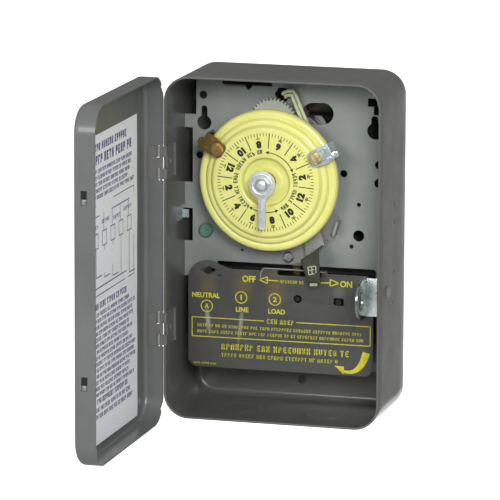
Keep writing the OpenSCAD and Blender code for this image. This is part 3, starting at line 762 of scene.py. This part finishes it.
# ------------------------------------------------------------------ dial
front = [(40.2, 37.6), (40.2, 38.8), (39.9, 40.0), (39.2, 40.9), (38.2, 41.4), (37.1, 41.5), (36.3, 41.3), (35.7, 41.0), (35.35, 42.2), (34.5, 43.2),
         (33.4, 43.6), (32.3, 43.6), (31.6, 44.6), (30.7, 45.7), (29.9, 46.0), (22, 46.0), (14.7, 46.0), (13.9, 45.7), (13.4, 44.9), (13.1, 42.9),
         (10.5, 42.4), (8.7, 42.2), (8.2, 42.9), (5.05, 42.9)]
rear = [(5.05, 35.4), (6.8, 35.4), (6.8, 40.6), (13.9, 41.2), (14.4, 44.4), (29.4, 44.4), (31.4, 42.2), (33.6, 41.9), (34.8, 39.6), (37.2, 40.0), (38.7, 39.2), (39.0, 37.6)]


def soften(pts, r=0.28, n=3):
    """Small fillets on an open profile treated as closed."""
    return fillet(pts, r, n)


bm = lathe(soften(front + rear, 0.35, 3), DX, DZ, 192)
dial = finish_mesh("dial_disc", bm, M["yellow"], "dial_face", 50, ["dial"])

polys = []
ring_y = -46.0


def pol(r, a):
    """Point at radius r and angle a in degrees, clockwise from the top."""
    return (DX + r * math.sin(math.radians(a)), DZ + r * math.cos(math.radians(a)))


def ray(a, r0, r1, w):
    d = math.radians(a)
    tx, tz = math.cos(d) * w / 2, -math.sin(d) * w / 2
    p, q = pol(r0, a), pol(r1, a)
    polys.append([(p[0] - tx, p[1] - tz), (p[0] + tx, p[1] + tz), (q[0] + tx, q[1] + tz), (q[0] - tx, q[1] - tz)])


def arc(r, a0, a1, w, n=14):
    o = [pol(r + w / 2, a0 + (a1 - a0) * i / n) for i in range(n + 1)]
    i_ = [pol(r - w / 2, a0 + (a1 - a0) * i / n) for i in range(n + 1)]
    for k in range(n):
        polys.append([o[k], o[k + 1], i_[k + 1], i_[k]])


for k in range(96):
    a = 4.5 + k * 3.75
    if k % 8 == 0:
        ray(a, 19.3, 27.9, 0.5)
    elif k % 4 == 0:
        ray(a, 25.0, 27.9, 0.4)
    else:
        ray(a, 26.1, 27.9, 0.32)
for a0, a1 in ((6, 61), (160, 207)):
    arc(17.0, a0, a1, 0.45)
    for a, s in ((a0, -1), (a1, 1)):
        c = [pol(17.0 + 1.0, a), pol(17.0, a + s * 6.5), pol(17.0 - 1.0, a)]
        polys.append(c)
# ring of letter-like marks between the arrows
rng2 = random.Random(11)
for a0, a1 in ((70, 152), (214, 352)):
    a, word = a0, 5
    while a < a1:
        if word == 0:
            word = rng2.randint(3, 6)
            a += 4.4
            continue
        for gx0, gz0, gx1, gz1 in glyph(rng2, 0, 0, 1.2, 2.4, 0.44):
            pts = []
            for gx, gz in ((gx0, gz0), (gx1, gz0), (gx1, gz1), (gx0, gz1)):
                pts.append(pol(18.6 - gz, a + math.degrees(gx / 17.4)))
            polys.append(pts)
        a += 5.4
        word -= 1
meshes = [quads(polys, ring_y, 0.05)]
# hour numerals: tops towards the centre, counting up counter-clockwise
hours = [8, 6, 4, 2, 12, 10, 8, 6, 4, 2, 12, 10]
for k, h in enumerate(hours):
    a = -10.5 + 30 * k
    x, zz = pol(21.5, a)
    t = text_polys(str(h), 4.3, x, zz, math.radians(a + 180), 0.08, 1.02)
    t.transform(Matrix.Translation((0, (ring_y - 0.04) * MM, 0)))
    meshes.append(t)
    # short mark outside each numeral for the half of the day
    x, zz = pol(24.6, a)
    d = math.radians(a)
    day = 2 if k in (1, 2, 3, 4, 5, 6) else 1
    loc_polys = []
    for j in range(day):
        r0 = 24.5 + j * 0.8
        p = [pol(r0, a - 2.6), pol(r0, a + 2.6), pol(r0 + 0.45, a + 2.6), pol(r0 + 0.45, a - 2.6)]
        loc_polys.append(p)
    meshes.append(quads(loc_polys, ring_y, 0.05))
add_mesh("dial_print", join(meshes), M["ink_black"], "dial_face", 30)

# ------------------------------------------------------------------ time pointer and nut
rngp = random.Random(3)
outline = []
for i in range(64):
    a = math.radians(-90 + 22 + (360 - 44) * i / 63)
    outline.append((DX + 7.6 * math.cos(a), DZ + 7.6 * math.sin(a)))
outline += [(DX - 2.45, DZ - 8.2), (DX - 2.3, DZ - 10.5), (DX - 2.0, DZ - 24.8), (DX - 1.4, DZ - 25.6), (DX + 1.4, DZ - 25.6), (DX + 2.0, DZ - 24.8), (DX + 2.3, DZ - 10.5), (DX + 2.45, DZ - 8.2)]
me = plate(outline, [circ(DX, DZ, 2.1, 32)], -52.3, 1.2, 0.25, 3)
rib = lathe([(5.3, 53.4), (6.1, 53.4), (6.1, 53.75), (5.7, 53.9), (5.3, 53.75)], DX, DZ, 64)
spine = bevelled(box_bm(DX - 0.55, DX + 0.55, -53.85, -53.3, DZ - 23.8, DZ - 9.5), 0.24, 3)
add_mesh("pointer_blade", join([me, rib, spine]), M["pointer"], "enclosure", 40, ["time_pointer"])
hexn = plate([(DX + 4.1 * math.cos(math.radians(60 * k + 12)), DZ + 4.1 * math.sin(math.radians(60 * k + 12))) for k in range(6)], [], -53.5, 1.5, 0.25, 3)
nut = lathe([(0, 53.5), (3.5, 53.5), (3.6, 53.7), (3.6, 54.9), (3.35, 55.5), (2.7, 56.1), (1.6, 56.5), (0, 56.6)], DX, DZ, 48)
add_mesh("pointer_dome_nut", join([nut, hexn]), M["pointer"], "enclosure", 40, ["pointer_nut"])


# ------------------------------------------------------------------ trippers
def about(a):
    c = Vector((DX, 0, DZ)) * MM
    return Matrix.Translation(c) @ Matrix.Rotation(math.radians(a), 4, "Y")


def tripper(name, a, lug, mat, body, node, screw_mat, screw_node):
    leaf = fillet([(-4, 28.6), (4, 28.6), (5.2, 36), (4.7, 42.6), (-4.7, 42.6), (-5.2, 36)], [2.6, 2.6, 1.2, 0.2, 0.2, 1.2], 6)
    parts = [plate(leaf, [circ(0, 32.6, 1.4, 28)], -46.4, 1.2, 0.22, 3)]
    parts.append(bevelled(box_bm(-4.6, 4.6, -47.5, -35.4, 41.4, 42.6), 0.3, 3))
    backleaf = fillet([(-3.4, 35), (3.4, 35), (4.6, 42.5), (-4.6, 42.5)], [1.2, 1.2, 0.2, 0.2], 5)
    parts.append(plate(backleaf, [], -35.4, 1.2, 0.2, 2))
    tab = fillet([(lug * 0.4, 42.2), (lug * 4.5, 42.2), (lug * 4.4, 45), (lug * 1.4, 45.2)][:: int(lug)], 0.5, 4)
    parts.append(plate(tab, [], -41.4, 3.4, 0.25, 2))
    # two pressed ribs on the front leaf
    for x in (-2.9, 2.9):
        parts.append(bevelled(box_bm(x - 0.5, x + 0.5, -47.95, -47.3, 36.6, 41.6), 0.22, 3))
    me = join(parts)
    me.transform(about(a))
    add_mesh(name, me, mat, body, 40, [node])
    # thumb screw with a knurled rim and a slot
    n = 30
    ring = []
    for i in range(n * 2):
        r = 3.2 if i % 2 else 2.95
        ring.append((r * math.cos(math.pi * i / n), 32.6 + r * math.sin(math.pi * i / n)))
    head = plate(ring, [], -47.65, 2.3, 0.3, 3)
    o = tmp_obj(bmesh.new())
    o.data = head
    c = tmp_obj(box_bm(-4, 4, -51, -49.2, 32.1, 33.1), "cut")
    md = o.modifiers.new("cut", "BOOLEAN")
    md.operation, md.solver, md.object = "DIFFERENCE", "EXACT", c
    slotted = evaluated(o)
    drop(o, c)
    washer = lathe([(0, 47.6), (3.7, 47.6), (3.8, 47.7), (3.8, 47.95), (0, 47.95)], 0, 32.6, 40)
    tip = lathe([(0, 46.5), (1.2, 46.5), (1.2, 47.8), (0, 47.8)], 0, 32.6, 24)
    me = join([slotted, washer, tip])
    me.transform(about(a))
    add_mesh(name + "_thumb_screw", me, screw_mat, body, 30, [screw_node])


tripper("on_clamp", 62.5, 1, M["zinc"], "on_trip", "on_tripper", M["dull"], "on_tripper_screw")
tripper("off_clamp", -57.5, -1, M["bronze"], "off_trip", "off_tripper", M["brass"], "off_tripper_screw")

# ------------------------------------------------------------------ insulator with its printing
left = [(-54.8, -68.6), (-51.4, -72.0), (49.4, -72.0), (52.8, -68.6), (52.8, -17.5), (50.0, -14.7), (26.0, -14.7), (26.0, -13.0), (-12.0, -13.0), (-12.0, -14.7)]
lobe = [(-43.4 + 11.4 * math.cos(math.radians(a)), -21.9 + 11.4 * math.sin(math.radians(a))) for a in range(52, 181, 8)]
pts = left + [(-30.6, -14.9)] + lobe
radii = [3.0, 3.0, 3.0, 3.0, 2.6, 2.6, 0.6, 0.8, 0.8, 0.6, 1.5] + [0] * len(lobe)
outer = fillet(pts, radii, 6)


def obround(cx, cz, w, h, n=12):
    out = []
    for s, a0 in ((1, -90), (-1, 90)):
        for i in range(n + 1):
            a = math.radians(a0 + 180 * i / n)
            out.append((cx + s * (w - h) / 2 + h / 2 * math.cos(a), cz + h / 2 * math.sin(a)))
    return out


def eyed_slot(cx, cz, w, h, r):
    """Obround with a round middle."""
    out = []
    dx = math.sqrt(max(r * r - h * h / 4, 0))
    a1 = math.degrees(math.atan2(h / 2, dx))
    for s in (0, 180):
        for i in range(13):
            a = math.radians(s - 90 + 180 * i / 12)
            out.append((cx + math.cos(math.radians(s)) * (w - h) / 2 + h / 2 * math.cos(a), cz + h / 2 * math.sin(a)))
        for i in range(13):
            a = math.radians(s + a1 + (180 - 2 * a1) * i / 12)
            out.append((cx + r * math.cos(a), cz + r * math.sin(a)))
    return out


hole_list = [eyed_slot(-43.1, -16.4, 8.4, 2.8, 2.4), circ(9, -29.9, 2.3, 32), fillet([(29.8, -32.3), (35.6, -32.3), (35.6, -28.1), (29.8, -28.1)], 0.8, 4),
             obround(10, -15.45, 26, 2.9), circ(-36.5, -19, 0.7, 16)]
me = plate(outer, hole_list, -38.0, 0.8, 0.14, 2)
add_mesh("insulator_sheet", me, M["film"], "insulator", 40, ["insulator_shield"])

polys = []
rng3 = random.Random(5)


def line(x0, z0, x1, z1, w):
    v = Vector((x1 - x0, z1 - z0)).normalized()
    nx, nz = -v.y * w / 2, v.x * w / 2
    polys.append([(x0 - nx, z0 - nz), (x1 - nx, z1 - nz), (x1 + nx, z1 + nz), (x0 + nx, z0 + nz)])


def ringp(cx, cz, r, w, n=28):
    for i in range(n):
        a, b = 2 * math.pi * i / n, 2 * math.pi * (i + 1) / n
        polys.append([(cx + (r - w / 2) * math.cos(a), cz + (r - w / 2) * math.sin(a)), (cx + (r + w / 2) * math.cos(a), cz + (r + w / 2) * math.sin(a)),
                      (cx + (r + w / 2) * math.cos(b), cz + (r + w / 2) * math.sin(b)), (cx + (r - w / 2) * math.cos(b), cz + (r - w / 2) * math.sin(b))])


# arrows beside the lever
line(-9.6, -20.0, -2.2, -20.2, 0.55)
for p, q in (((-13.2, -20.1), (-8.6, -18.2)), ((-8.6, -18.2), (-8.6, -22.0)), ((-8.6, -22.0), (-13.2, -20.1))):
    line(*p, *q, 0.6)
line(21.6, -19.9, 27.4, -19.6, 0.55)
for p, q in (((32.8, -19.5), (27.8, -17.6)), ((27.8, -17.6), (27.8, -21.4)), ((27.8, -21.4), (32.8, -19.5))):
    line(*p, *q, 0.6)
polys += rects(pseudo_text(rng3, -1.2, 12.8, -21.2, 1.7))
# terminal markings
for cx, cz in ((-43.9, -36.9), (-23.8, -30.9), (-4.2, -30.9)):
    ringp(cx, cz, 3.3, 0.55)
polys += rects(pseudo_text(rng3, -51.5, -37, -70.4, 1.1, 0.95, 0.26))
# framed note with a heading
for x0, z0, x1, z1 in ((-52.5, -43.6, -10.6, -43.6), (8.4, -43.4, 51.1, -43.2), (51.1, -43.2, 51.1, -54.3), (51.1, -54.3, -52.5, -54.6), (-52.5, -54.6, -52.5, -43.6)):
    line(x0, z0, x1, z1, 0.5)
polys += rects(pseudo_text(rng3, -8.8, 7.4, -45.0, 2.7, 2.15, 0.55))
polys += rects(pseudo_text(rng3, -49.4, 47.6, -48.9, 1.75, 1.5, 0.36))
polys += rects(pseudo_text(rng3, -49.4, 48.0, -52.4, 1.75, 1.5, 0.36))
polys += rects(pseudo_text(rng3, -35.3, 41.0, -61.4, 3.5, 2.75, 0.68))
polys += rects(pseudo_text(rng3, -35.3, 33.2, -65.6, 2.2, 1.85, 0.44))
# curved arrow, widening to its tail
n = 16
P0, P1, P2 = Vector((33.8, -68.9)), Vector((45.0, -73.4)), Vector((49.0, -58.2))
edge_a, edge_b = [], []
for i in range(n + 1):
    t = i / n
    p = P0 * (1 - t) ** 2 + P1 * 2 * t * (1 - t) + P2 * t * t
    d = ((P1 - P0) * 2 * (1 - t) + (P2 - P1) * 2 * t).normalized()
    w = 0.5 + 1.7 * t
    edge_a.append((p.x - d.y * w, p.y + d.x * w))
    edge_b.append((p.x + d.y * w, p.y - d.x * w))
for i in range(n):
    polys.append([edge_b[i], edge_b[i + 1], edge_a[i + 1], edge_a[i]])
meshes = [quads(polys, INS_Y, 0.05), quads([[(30.6, -66.6), (35.9, -71.2), (36.2, -66.9)]], INS_Y, 0.09)]
for word, x, zz, h, sx in (("OFF", -19.3, -20.0, 3.6, 0.95), ("ON", 37.0, -19.8, 3.6, 0.95), ("1", -23.8, -30.9, 3.0, 1.2), ("2", -4.2, -30.9, 3.0, 1.1),
                          ("A", -43.9, -36.9, 2.6, 1.0), ("NEUTRAL", -44.4, -30.7, 2.9, 0.98), ("LINE", -23.2, -37.8, 2.8, 1.0), ("LOAD", -3.1, -37.8, 2.8, 1.0)):
    t = text_polys(word, h, x, zz, 0, 0.03, sx)
    t.transform(Matrix.Translation((0, (INS_Y - 0.04) * MM, 0)))
    meshes.append(t)
add_mesh("insulator_print", join(meshes), M["ink_yellow"], "insulator", 30)

# ------------------------------------------------------------------ motor leads
lead_path = [(-3.4, -20, 83.8), (-3.2, -27, 84), (-1.4, -29, 85.6), (2.8, -29.4, 86.2), (4.8, -29.6, 84.2), (6.2, -29.6, 81), (7.6, -29.6, 77.4),
             (9.2, -29.4, 73.6), (10.8, -29.2, 69.8), (12.6, -28.9, 66), (15.2, -28.8, 62.6), (18.6, -28.8, 60.2)]
inner = []
for i, p in enumerate(lead_path):
    a, b = lead_path[max(i - 1, 0)], lead_path[min(i + 1, len(lead_path) - 1)]
    t = (Vector(b) - Vector(a)).normalized()
    nrm = Vector((t.z, 0, -t.x)).normalized()
    inner.append(tuple(Vector(p) + nrm * 2.3))
me = join([tube(lead_path, 0.98), tube(inner, 0.98)])
add_mesh("lead_sleeves", me, M["lead"], "enclosure", 60, ["motor_leads"])


# ------------------------------------------------------------------ padlock hasp
def side_plate(outer, holes, x0, t, bev, res=3):
    """Bevelled plate in the YZ plane, thickness from x0 towards +X. Outlines are (y, z)."""
    me = plate(outer, holes, 0, t, bev, res)
    # plate lies in XZ with thickness along -Y; turn so that its X is Y and its thickness is X
    me.transform(Matrix(((0, -1, 0, x0 * MM), (1, 0, 0, 0), (0, 0, 1, 0), (0, 0, 0, 1))))
    return me


y1 = -D + 2.6
loop = [(y1, HASP_Z + 11.2), (-D - 8, HASP_Z + 11.2)]
loop = [(y1, HASP_Z - 11.2), (y1, HASP_Z + 11.2)] + [(-D - 8 - 11.2 * math.sin(math.radians(a)), HASP_Z + 11.2 * math.cos(math.radians(a))) for a in range(0, 181, 9)]
me1 = side_plate(loop, [circ(-D - 11, HASP_Z, 5.4, 40)], 53.0, 1.6, 0.35)
me2 = bevelled(box_bm(54.0, W / 2 - T - 0.05, y1 - 1.4, y1, HASP_Z - 10.8, HASP_Z + 10.8), 0.4, 3)
base = [(y1 - 1.2, HASP_Z - 9.4), (y1 + 18, HASP_Z - 9.4), (y1 + 23, HASP_Z - 5), (y1 + 23, HASP_Z + 5), (y1 + 18, HASP_Z + 9.4), (y1 - 1.2, HASP_Z + 9.4)]
me3 = side_plate(fillet(base, [0.3, 2, 2, 2, 2, 0.3], 5), [], W / 2 - T - 1.45, 1.4, 0.3)
# the loop takes the darker zinc copy as painted shade; it is the same zinc as the web
add_mesh("hasp_loop", me1, M["zinc2"], "enclosure", 40, ["latch_hasp"])
add_mesh("hasp_web", join([me2, me3]), M["zinc"], "enclosure", 40)

# ------------------------------------------------------------------ manual lever
LVX, LVZ = 13.5, 12.0
hub = lathe([(1.55, 20.4), (3.6, 20.4), (3.6, 27.6), (1.55, 27.6)], LVX, LVZ, 48)
arm = plate(fillet([(LVX - 4, LVZ + 2.6), (LVX - 3.4, LVZ - 4), (12, -7.2), (22.6, 0.4), (LVX + 4, LVZ + 2.6)], [1.5, 2, 0.4, 0.4, 1.5], 5), [circ(LVX, LVZ, 1.55, 32)], -31.0, 1.2, 0.2, 2)
hub = lathe([(1.55, 27.6), (1.55, 34.8), (3.6, 34.8), (3.6, 27.6)], LVX, LVZ, 48)
add_mesh("lever_arm", join([hub, arm]), M["bracket"], "lever", 40)
fold = plate([(22.2, -0.2), (21.6, 0.6), (12, -6.4), (12.5, -7.3)], [], -32.2, 12.4, 0.15, 2)
handle = plate(fillet([(22.2, 0.2), (12.1, -7), (16.6, -19.6), (18, -20.8), (22.4, -20.8), (23.6, -18.8)], [0.6, 1.0, 0.6, 0.8, 0.8, 0.8], 5), [], -43.4, 1.2, 0.25, 3)
tip = plate(fillet([(17.4, -18.9), (18, -20.9), (22.4, -20.9), (22.9, -18.7)], 0.5, 4), [], -44.4, 1.6, 0.3, 3)
add_mesh("lever_handle", join([fold, handle, tip]), M["dark"], "lever", 40, ["manual_lever"])
marks = []
for x0, z0, x1, z1 in ((16.4, -10.2, 16.9, -14.4), (16.4, -10.2, 20.6, -9.2), (16.8, -12.0, 20.0, -11.2), (17.0, -14.4, 20.2, -13.6), (18.6, -10.0, 18.9, -13.8), (20.9, -9.4, 21.1, -13.2)):
    v = Vector((x1 - x0, z1 - z0)).normalized() * 0.22
    marks.append([(x0 + v.y, z0 - v.x), (x1 + v.y, z1 - v.x), (x1 - v.y, z1 + v.x), (x0 - v.y, z0 + v.x)])
m1 = quads(marks, -44.6, 0.05)
marks = []
for k in range(3):
    z0 = -19.2 - k * 0.55
    marks.append([(17.9, z0 - 0.14), (22.3, z0 + 0.06), (22.3, z0 + 0.36), (17.9, z0 + 0.16)])
m2 = quads(marks, -46.0, 0.05)
add_mesh("lever_marks", join([m1, m2]), M["wear"], "lever", 40)

# ------------------------------------------------------------------ raised clear edge on the insulator round the lever slot
# the ridge's light grey colour is a painted highlight along the raised clear edge
edge = tube([(-12.2, -39.0, -19.6), (-12.4, -39.0, -16.4), (-11.0, -39.0, -13.9), (-7.5, -39.0, -13.3), (2, -39.0, -13.25), (12, -39.0, -13.3), (20, -39.0, -13.4), (24.6, -39.0, -13.9)], 0.24, 10)
finish_mesh("insulator_edge", edge, M["ridge"], "insulator", 60)

# ------------------------------------------------------------------ pressed marks on the right wall
bumps = []
for y, z, rr_ in ((-28, 25, 1.6), (-28, 15, 1.3), (-28, -13, 1.6), (-30, -30, 1.2)):
    bmx = lathe([(0, 0.42), (rr_ * 0.5, 0.36), (rr_ * 0.85, 0.18), (rr_, -0.05), (0, -0.05)], 0, 0, 24)
    for v in bmx.verts:
        v.co = Vector((W / 2 * MM - v.co.y, y * MM + v.co.x, z * MM + v.co.z))
    bumps.append(bmx)
add_mesh("wall_dimples", join(bumps), M["box"], "enclosure", 60)

# ------------------------------------------------------------------ CAD nodes that stay: edges, smoothing, materials
# insulator_posts take the near-black painted-shade material so the hole round them reads dark
CAD = {
    "knockout_slugs": ("box", 0.12), "box_hinge_leaves": ("leaf", 0.12), "hinge_pins": ("leaf", 0.08), "hasp_rivets": ("rivet", 0.15), "plate_clip": ("zinc", 0.15),
    "mechanism_plate": ("plate", 0.12), "plate_standoffs": ("pin", 0.1), "ground_screw": ("green", 0.08), "trip_bracket": ("bracket", 0.12), "bracket_screw": ("rivet", 0.15),
    "lever_pivot_pin": ("pin", 0.1), "motor_can": ("can", 0.12), "motor_coil": ("coil", 0.15), "motor_core": ("core", 0.1), "gear_stud": ("pin", 0.1), "dial_post": ("pin", 0.1),
    "pull_spring": ("pin", 0), "terminal_block": ("phenolic", 0.2), "terminal_lugs": ("brass", 0.15), "terminal_screws": ("brass", 0.18), "fixed_contact": ("brass", 0.1),
    "contact_pivot_pin": ("pin", 0.1), "insulator_posts": ("post", 0.2), "door_hinge_leaves": ("leaf", 0.12), "dial_gear": ("nylon", 0.06), "dial_sleeve": ("brass", 0.1),
    "drive_gear": ("nylon", 0.06), "motor_pinion": ("brass", 0.05), "switch_cam": ("cam", 0.12), "contact_arm": ("copper", 0.1),
}
for name, (mat, bev) in CAD.items():
    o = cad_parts[name]
    o.data.materials.clear()
    o.data.materials.append(M[mat])
    o.data.polygons.foreach_set("use_smooth", [True] * len(o.data.polygons))
    w = o.modifiers.new("weld", "WELD")
    w.merge_threshold = 2e-6
    if bev:
        b = o.modifiers.new("bevel", "BEVEL")
        b.width, b.segments, b.limit_method, b.angle_limit = bev * MM, 2, "ANGLE", math.radians(40)
    s = o.modifiers.new("split", "EDGE_SPLIT")
    s.split_angle = math.radians(38)
    wn = o.modifiers.new("normals", "WEIGHTED_NORMAL")
    wn.keep_sharp = True
missing = [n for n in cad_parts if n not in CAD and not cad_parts[n].hide_render]
assert not missing, missing

# ------------------------------------------------------------------ floor and lights
def stage_plane(name, x0, x1, y0, y1, z, colour, glow):
    bmx = bmesh.new()
    vs = [bmx.verts.new(c) for c in ((x0, y0, z), (x1, y0, z), (x1, y1, z), (x0, y1, z))]
    bmx.faces.new(vs)
    mex = bpy.data.meshes.new(name)
    bmx.to_mesh(mex)
    bmx.free()
    ob = bpy.data.objects.new(name, mex)
    mt = Mat(name, 0.85)
    mt.p.inputs["Base Color"].default_value = (colour, colour, colour, 1)
    mt.p.inputs["Emission Color"].default_value = (1, 1, 1, 1)
    mt.p.inputs["Emission Strength"].default_value = glow
    mex.materials.append(mt.m)
    scene.collection.objects.link(ob)
    return ob


stage_plane("floor_near", -14, 14, -12, 1.3, -0.75, 0.58, 0.0)
card = stage_plane("side_card", -0.9, 0.9, -0.75, 0.75, 0, 0.25, 0.06)
card.location = (1.13, 1.15, 0.1)
card.rotation_euler = (math.radians(90), 0, 0)
stage_plane("floor_far", -14, 14, 1.3, 24, -0.75, 0.9, 1.1)
# grey disc just behind the lower screw hole: painted shade, so the hole reads dark instead of showing the bright floor
patch = bpy.data.objects.new("hole_shade_patch", bpy.data.meshes.new("hole_shade_patch"))
bmx = cyl_bm((2, 0.5, -84.6), (2, 0.9, -84.6), 3.4, 40)
bmx.to_mesh(patch.data)
bmx.free()
pm = Mat("hole_shade_patch", 0.8)
pm.p.inputs["Base Color"].default_value = g(92)
patch.data.materials.append(pm.m)
scene.collection.objects.link(patch)

world = bpy.data.worlds.new("world")
scene.world = world
world.use_nodes = True
wt = world.node_tree
bg = wt.nodes["Background"]
tc = wt.nodes.new("ShaderNodeTexCoord")
sp = wt.nodes.new("ShaderNodeSeparateXYZ")
wr = wt.nodes.new("ShaderNodeValToRGB")
wr.color_ramp.elements[0].position, wr.color_ramp.elements[0].color = 0.0, (0.09, 0.09, 0.09, 1)
wr.color_ramp.elements[1].position, wr.color_ramp.elements[1].color = 0.9, (0.5, 0.5, 0.5, 1)
wt.links.new(tc.outputs["Generated"], sp.inputs["Vector"])
wt.links.new(sp.outputs["Z"], wr.inputs["Fac"])
wt.links.new(wr.outputs["Color"], bg.inputs["Color"])
bg.inputs["Strength"].default_value = 1.0


def area(name, pos, aim, size, power, size_y=None):
    ld = bpy.data.lights.new(name, "AREA")
    ld.shape = "RECTANGLE"
    ld.size, ld.size_y = size, size_y or size
    ld.energy = power
    lo = bpy.data.objects.new(name, ld)
    lo.location = pos
    lo.rotation_euler = (Vector(aim) - Vector(pos)).to_track_quat("-Z", "Y").to_euler()
    scene.collection.objects.link(lo)


area("key", (1.05, -2.25, 1.0), (0, 0, 0), 0.8, 44)
area("strip", (-0.75, -2.4, 0.85), (0, 0, 0), 1.2, 18, 0.7)
area("left_fill", (-2.0, -1.2, 0.4), (0, 0, 0), 1.2, 10)
